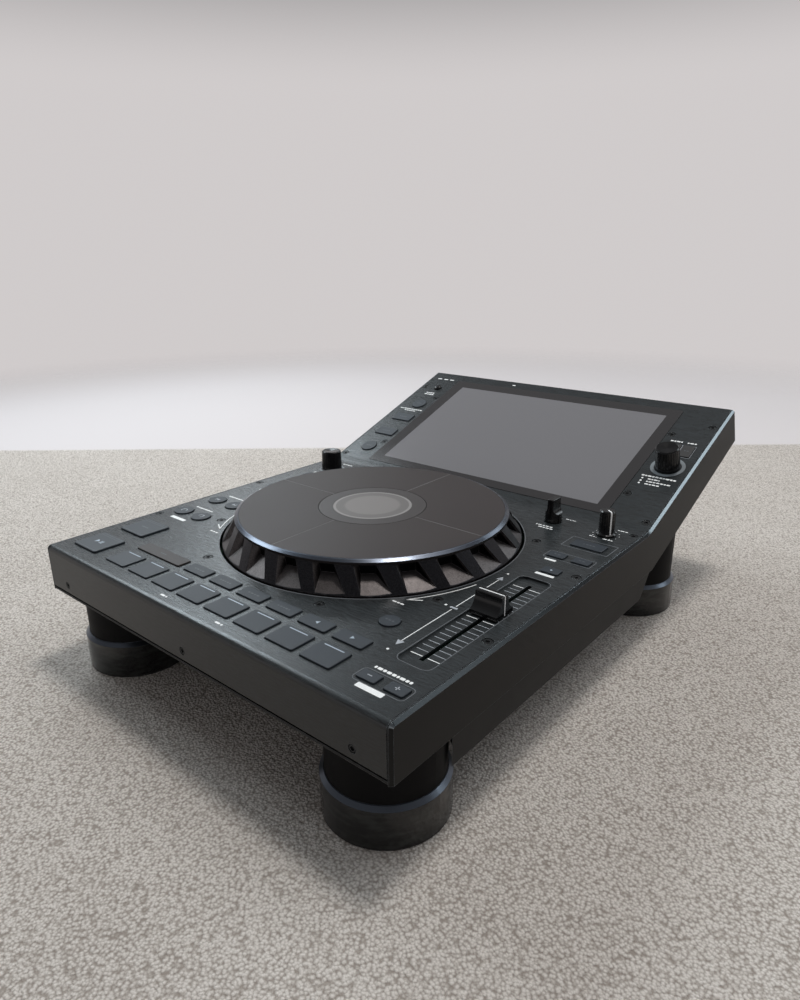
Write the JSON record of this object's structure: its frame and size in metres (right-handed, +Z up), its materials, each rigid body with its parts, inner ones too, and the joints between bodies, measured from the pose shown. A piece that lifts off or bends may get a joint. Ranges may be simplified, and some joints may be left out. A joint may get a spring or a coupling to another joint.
{
  "type": "tabletop DJ media player",
  "caption": "Tabletop DJ media player on tall round feet: flat deck with a finned jog platter, pads, pitch fader and knobs, and a large screen on the raised sloped rear part.",
  "frame": {"origin": "centre of the bounding box, on the surface that the feet stand on", "axes": "+Z up, -Y towards the user at the pads, +X to the right of someone facing the player"},
  "size_m": [0.32, 0.4694, 0.1505],
  "materials": {
    "deck_sheet": "brushed black lacquered sheet",
    "panel": "smooth satin black",
    "chassis": "fine black powder coat",
    "foot": "matt black, glossy shoulder",
    "skirt": "dark metallic facets, satin",
    "disc": "matt dark grey, fine grain",
    "post": "gloss black",
    "glass": "polished",
    "button": "soft matt slate grey",
    "knob": "gloss black, ribbed",
    "shaft": "plain turned steel",
    "socket": "moulded black",
    "board": "green solder mask",
    "screw": "black oxide"
  },
  "bodies": {
    "root": {"top_plate": "deck_sheet", "side_panel_left": "panel", "side_panel_right": "panel", "chassis": "chassis", "lower_tray": "chassis", "feet": "foot", "fader_plate": "deck_sheet", "windows": "glass", "display_panels": "socket", "circuit_boards": "board", "centre_post": "post", "rear_sockets": "socket", "screws": "screw"},
    "platter": {"platter_ring": "skirt", "platter_disc": "disc"},
    "fader_cap": {"fader_cap": "knob"},
    "loop_shaft": {"loop_shaft": "shaft"},
    "loop_knob": {"loop_knob": "knob"},
    "select_shaft": {"select_shaft": "shaft"},
    "select_knob": {"select_knob": "knob"},
    "stop_time_knob": {"stop_time_knob": "knob"},
    "direction_lever": {"direction_lever": "knob"},
    "power_button": {"power_button": "button"},
    "pad_1": {"pad_1": "button"},
    "pad_2": {"pad_2": "button"},
    "pad_3": {"pad_3": "button"},
    "pad_4": {"pad_4": "button"},
    "pad_5": {"pad_5": "button"},
    "pad_6": {"pad_6": "button"},
    "pad_7": {"pad_7": "button"},
    "pad_8": {"pad_8": "button"},
    "shift_button": {"shift_button": "button"},
    "mode_button_1": {"mode_button_1": "button"},
    "mode_button_2": {"mode_button_2": "button"},
    "mode_button_3": {"mode_button_3": "button"},
    "mode_button_4": {"mode_button_4": "button"},
    "parameter_left_button": {"parameter_left_button": "button"},
    "parameter_right_button": {"parameter_right_button": "button"},
    "play_button": {"play_button": "button"},
    "cue_button": {"cue_button": "button"},
    "beat_back_button": {"beat_back_button": "button"},
    "beat_forward_button": {"beat_forward_button": "button"},
    "skip_back_button": {"skip_back_button": "button"},
    "skip_forward_button": {"skip_forward_button": "button"},
    "loop_in_button": {"loop_in_button": "button"},
    "loop_out_button": {"loop_out_button": "button"},
    "bend_down_button": {"bend_down_button": "button"},
    "bend_up_button": {"bend_up_button": "button"},
    "layer_button": {"layer_button": "button"},
    "deck_button_1": {"deck_button_1": "button"},
    "deck_button_2": {"deck_button_2": "button"},
    "deck_button_3": {"deck_button_3": "button"},
    "wide_deck_button": {"wide_deck_button": "button"},
    "column_round_button_1": {"column_round_button_1": "button"},
    "column_oblong_button_1": {"column_oblong_button_1": "button"},
    "column_oblong_button_2": {"column_oblong_button_2": "button"},
    "column_round_button_2": {"column_round_button_2": "button"},
    "column_dome_button": {"column_dome_button": "button"},
    "back_button": {"back_button": "button"},
    "forward_button": {"forward_button": "button"}
  },
  "joints": [
    {"name": "platter_spin", "type": "hinge", "parent": "root", "child": "platter", "pos_m": [0, -0.06865, 0.0893], "axis": [0, 0, 1], "continuous": true},
    {"name": "fader_slide", "type": "slide", "parent": "root", "child": "fader_cap", "axis": [0, 1, 0], "range_m": [-0.0608, 0.0392]},
    {"name": "loop_push", "type": "slide", "parent": "root", "child": "loop_shaft", "axis": [0, 0, 1], "range_m": [-0.0005, 0], "stiffness_N_per_m": 300, "springref_m": 0.001},
    {"name": "loop_turn", "type": "hinge", "parent": "loop_shaft", "child": "loop_knob", "pos_m": [-0.1327, 0.02135, 0.0893], "axis": [0, 0, 1], "continuous": true},
    {"name": "select_push", "type": "slide", "parent": "root", "child": "select_shaft", "axis": [0, -0.342, 0.9397], "range_m": [-0.0005, 0], "stiffness_N_per_m": 300, "springref_m": 0.001},
    {"name": "select_turn", "type": "hinge", "parent": "select_shaft", "child": "select_knob", "pos_m": [0.1405, 0.1279, 0.11735], "axis": [0, -0.342, 0.9397], "continuous": true},
    {"name": "stop_time_turn", "type": "hinge", "parent": "root", "child": "stop_time_knob", "pos_m": [0.1365, 0.02935, 0.0893], "axis": [0, 0, 1], "range_deg": [-11, 269]},
    {"name": "direction_turn", "type": "hinge", "parent": "root", "child": "direction_lever", "pos_m": [0.0935, 0.03035, 0.0893], "axis": [0, 0, 1], "range_deg": [-30, 30]},
    {"name": "pad_1_press", "type": "slide", "parent": "root", "child": "pad_1", "axis": [0, 0, 1], "range_m": [-0.0008, 0], "stiffness_N_per_m": 200, "springref_m": 0.001},
    {"name": "pad_2_press", "type": "slide", "parent": "root", "child": "pad_2", "axis": [0, 0, 1], "range_m": [-0.0008, 0], "stiffness_N_per_m": 200, "springref_m": 0.001},
    {"name": "pad_3_press", "type": "slide", "parent": "root", "child": "pad_3", "axis": [0, 0, 1], "range_m": [-0.0008, 0], "stiffness_N_per_m": 200, "springref_m": 0.001},
    {"name": "pad_4_press", "type": "slide", "parent": "root", "child": "pad_4", "axis": [0, 0, 1], "range_m": [-0.0008, 0], "stiffness_N_per_m": 200, "springref_m": 0.001},
    {"name": "pad_5_press", "type": "slide", "parent": "root", "child": "pad_5", "axis": [0, 0, 1], "range_m": [-0.0008, 0], "stiffness_N_per_m": 200, "springref_m": 0.001},
    {"name": "pad_6_press", "type": "slide", "parent": "root", "child": "pad_6", "axis": [0, 0, 1], "range_m": [-0.0008, 0], "stiffness_N_per_m": 200, "springref_m": 0.001},
    {"name": "pad_7_press", "type": "slide", "parent": "root", "child": "pad_7", "axis": [0, 0, 1], "range_m": [-0.0008, 0], "stiffness_N_per_m": 200, "springref_m": 0.001},
    {"name": "pad_8_press", "type": "slide", "parent": "root", "child": "pad_8", "axis": [0, 0, 1], "range_m": [-0.0008, 0], "stiffness_N_per_m": 200, "springref_m": 0.001},
    {"name": "shift_press", "type": "slide", "parent": "root", "child": "shift_button", "axis": [0, 0, 1], "range_m": [-0.0008, 0], "stiffness_N_per_m": 200, "springref_m": 0.001},
    {"name": "mode_1_press", "type": "slide", "parent": "root", "child": "mode_button_1", "axis": [0, 0, 1], "range_m": [-0.0008, 0], "stiffness_N_per_m": 200, "springref_m": 0.001},
    {"name": "mode_2_press", "type": "slide", "parent": "root", "child": "mode_button_2", "axis": [0, 0, 1], "range_m": [-0.0008, 0], "stiffness_N_per_m": 200, "springref_m": 0.001},
    {"name": "mode_3_press", "type": "slide", "parent": "root", "child": "mode_button_3", "axis": [0, 0, 1], "range_m": [-0.0008, 0], "stiffness_N_per_m": 200, "springref_m": 0.001},
    {"name": "mode_4_press", "type": "slide", "parent": "root", "child": "mode_button_4", "axis": [0, 0, 1], "range_m": [-0.0008, 0], "stiffness_N_per_m": 200, "springref_m": 0.001},
    {"name": "parameter_left_press", "type": "slide", "parent": "root", "child": "parameter_left_button", "axis": [0, 0, 1], "range_m": [-0.0008, 0], "stiffness_N_per_m": 200, "springref_m": 0.001},
    {"name": "parameter_right_press", "type": "slide", "parent": "root", "child": "parameter_right_button", "axis": [0, 0, 1], "range_m": [-0.0008, 0], "stiffness_N_per_m": 200, "springref_m": 0.001},
    {"name": "play_press", "type": "slide", "parent": "root", "child": "play_button", "axis": [0, 0, 1], "range_m": [-0.001, 0], "stiffness_N_per_m": 200, "springref_m": 0.001},
    {"name": "cue_press", "type": "slide", "parent": "root", "child": "cue_button", "axis": [0, 0, 1], "range_m": [-0.001, 0], "stiffness_N_per_m": 200, "springref_m": 0.001},
    {"name": "beat_back_press", "type": "slide", "parent": "root", "child": "beat_back_button", "axis": [0, 0, 1], "range_m": [-0.0008, 0], "stiffness_N_per_m": 200, "springref_m": 0.001},
    {"name": "beat_forward_press", "type": "slide", "parent": "root", "child": "beat_forward_button", "axis": [0, 0, 1], "range_m": [-0.0008, 0], "stiffness_N_per_m": 200, "springref_m": 0.001},
    {"name": "skip_back_press", "type": "slide", "parent": "root", "child": "skip_back_button", "axis": [0, 0, 1], "range_m": [-0.0008, 0], "stiffness_N_per_m": 200, "springref_m": 0.001},
    {"name": "skip_forward_press", "type": "slide", "parent": "root", "child": "skip_forward_button", "axis": [0, 0, 1], "range_m": [-0.0008, 0], "stiffness_N_per_m": 200, "springref_m": 0.001},
    {"name": "loop_in_press", "type": "slide", "parent": "root", "child": "loop_in_button", "axis": [0, 0, 1], "range_m": [-0.0008, 0], "stiffness_N_per_m": 200, "springref_m": 0.001},
    {"name": "loop_out_press", "type": "slide", "parent": "root", "child": "loop_out_button", "axis": [0, 0, 1], "range_m": [-0.0008, 0], "stiffness_N_per_m": 200, "springref_m": 0.001},
    {"name": "bend_down_press", "type": "slide", "parent": "root", "child": "bend_down_button", "axis": [0, 0, 1], "range_m": [-0.0008, 0], "stiffness_N_per_m": 200, "springref_m": 0.001},
    {"name": "bend_up_press", "type": "slide", "parent": "root", "child": "bend_up_button", "axis": [0, 0, 1], "range_m": [-0.0008, 0], "stiffness_N_per_m": 200, "springref_m": 0.001},
    {"name": "layer_press", "type": "slide", "parent": "root", "child": "layer_button", "axis": [0, 0, 1], "range_m": [-0.0008, 0], "stiffness_N_per_m": 200, "springref_m": 0.001},
    {"name": "deck_1_press", "type": "slide", "parent": "root", "child": "deck_button_1", "axis": [0, 0, 1], "range_m": [-0.0008, 0], "stiffness_N_per_m": 200, "springref_m": 0.001},
    {"name": "deck_2_press", "type": "slide", "parent": "root", "child": "deck_button_2", "axis": [0, 0, 1], "range_m": [-0.0008, 0], "stiffness_N_per_m": 200, "springref_m": 0.001},
    {"name": "deck_3_press", "type": "slide", "parent": "root", "child": "deck_button_3", "axis": [0, 0, 1], "range_m": [-0.0008, 0], "stiffness_N_per_m": 200, "springref_m": 0.001},
    {"name": "wide_deck_press", "type": "slide", "parent": "root", "child": "wide_deck_button", "axis": [0, 0, 1], "range_m": [-0.0008, 0], "stiffness_N_per_m": 200, "springref_m": 0.001},
    {"name": "column_round_1_press", "type": "slide", "parent": "root", "child": "column_round_button_1", "axis": [0, -0.342, 0.9397], "range_m": [-0.0008, 0], "stiffness_N_per_m": 200, "springref_m": 0.001},
    {"name": "column_oblong_1_press", "type": "slide", "parent": "root", "child": "column_oblong_button_1", "axis": [0, -0.342, 0.9397], "range_m": [-0.0008, 0], "stiffness_N_per_m": 200, "springref_m": 0.001},
    {"name": "column_oblong_2_press", "type": "slide", "parent": "root", "child": "column_oblong_button_2", "axis": [0, -0.342, 0.9397], "range_m": [-0.0008, 0], "stiffness_N_per_m": 200, "springref_m": 0.001},
    {"name": "column_round_2_press", "type": "slide", "parent": "root", "child": "column_round_button_2", "axis": [0, -0.342, 0.9397], "range_m": [-0.0008, 0], "stiffness_N_per_m": 200, "springref_m": 0.001},
    {"name": "column_dome_press", "type": "slide", "parent": "root", "child": "column_dome_button", "axis": [0, -0.342, 0.9397], "range_m": [-0.0008, 0], "stiffness_N_per_m": 200, "springref_m": 0.001},
    {"name": "back_press", "type": "slide", "parent": "root", "child": "back_button", "axis": [0, -0.342, 0.9397], "range_m": [-0.0008, 0], "stiffness_N_per_m": 200, "springref_m": 0.001},
    {"name": "forward_press", "type": "slide", "parent": "root", "child": "forward_button", "axis": [0, -0.342, 0.9397], "range_m": [-0.0008, 0], "stiffness_N_per_m": 200, "springref_m": 0.001},
    {"name": "power_press", "type": "slide", "parent": "root", "child": "power_button", "axis": [0, 0.8878, 0.4602], "range_m": [-0.0025, 0], "stiffness_N_per_m": 200, "springref_m": 0.001}
  ]
}
